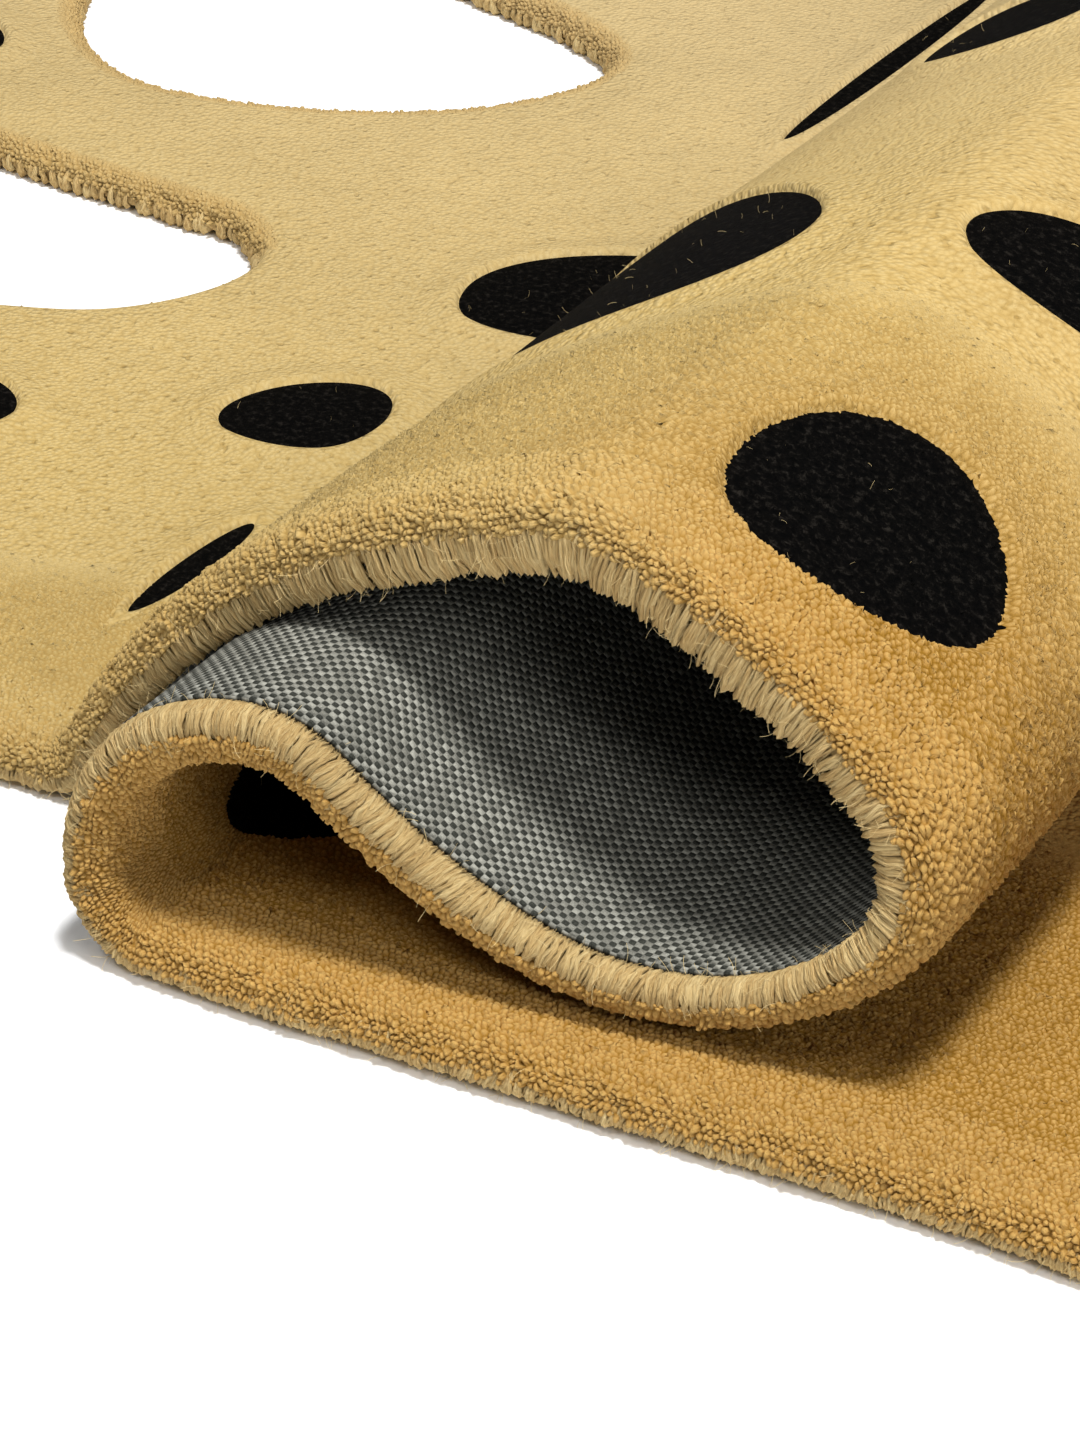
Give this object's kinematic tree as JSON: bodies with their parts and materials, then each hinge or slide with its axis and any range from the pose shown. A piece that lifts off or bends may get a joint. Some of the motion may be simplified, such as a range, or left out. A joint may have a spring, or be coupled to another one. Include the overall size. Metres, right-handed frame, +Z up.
{
  "type": "cat-shaped tufted rug, turned over in one fold",
  "caption": "Thick cut-pile rug in the shape of a spotted cat's hide, with a grey canvas back, lying on the floor and turned over on itself in an S fold across the body",
  "frame": {"origin": "middle of the bottom of the folded rug's box, on the floor", "axes": "+X from the tail to the head, across the fold; +Y along the fold; +Z up, out of the pile of the bottom layer"},
  "size_m": [1.205, 0.944, 0.1257],
  "materials": {
    "tan_wool": "dense cut wool pile, matt",
    "black_wool": "dense cut wool pile in the spots, matt",
    "grey_canvas": "plain woven canvas, pale weft over dark warp, matt"
  },
  "bodies": {
    "root": {"pile": "tan_wool", "canvas": "grey_canvas"}
  },
  "joints": []
}
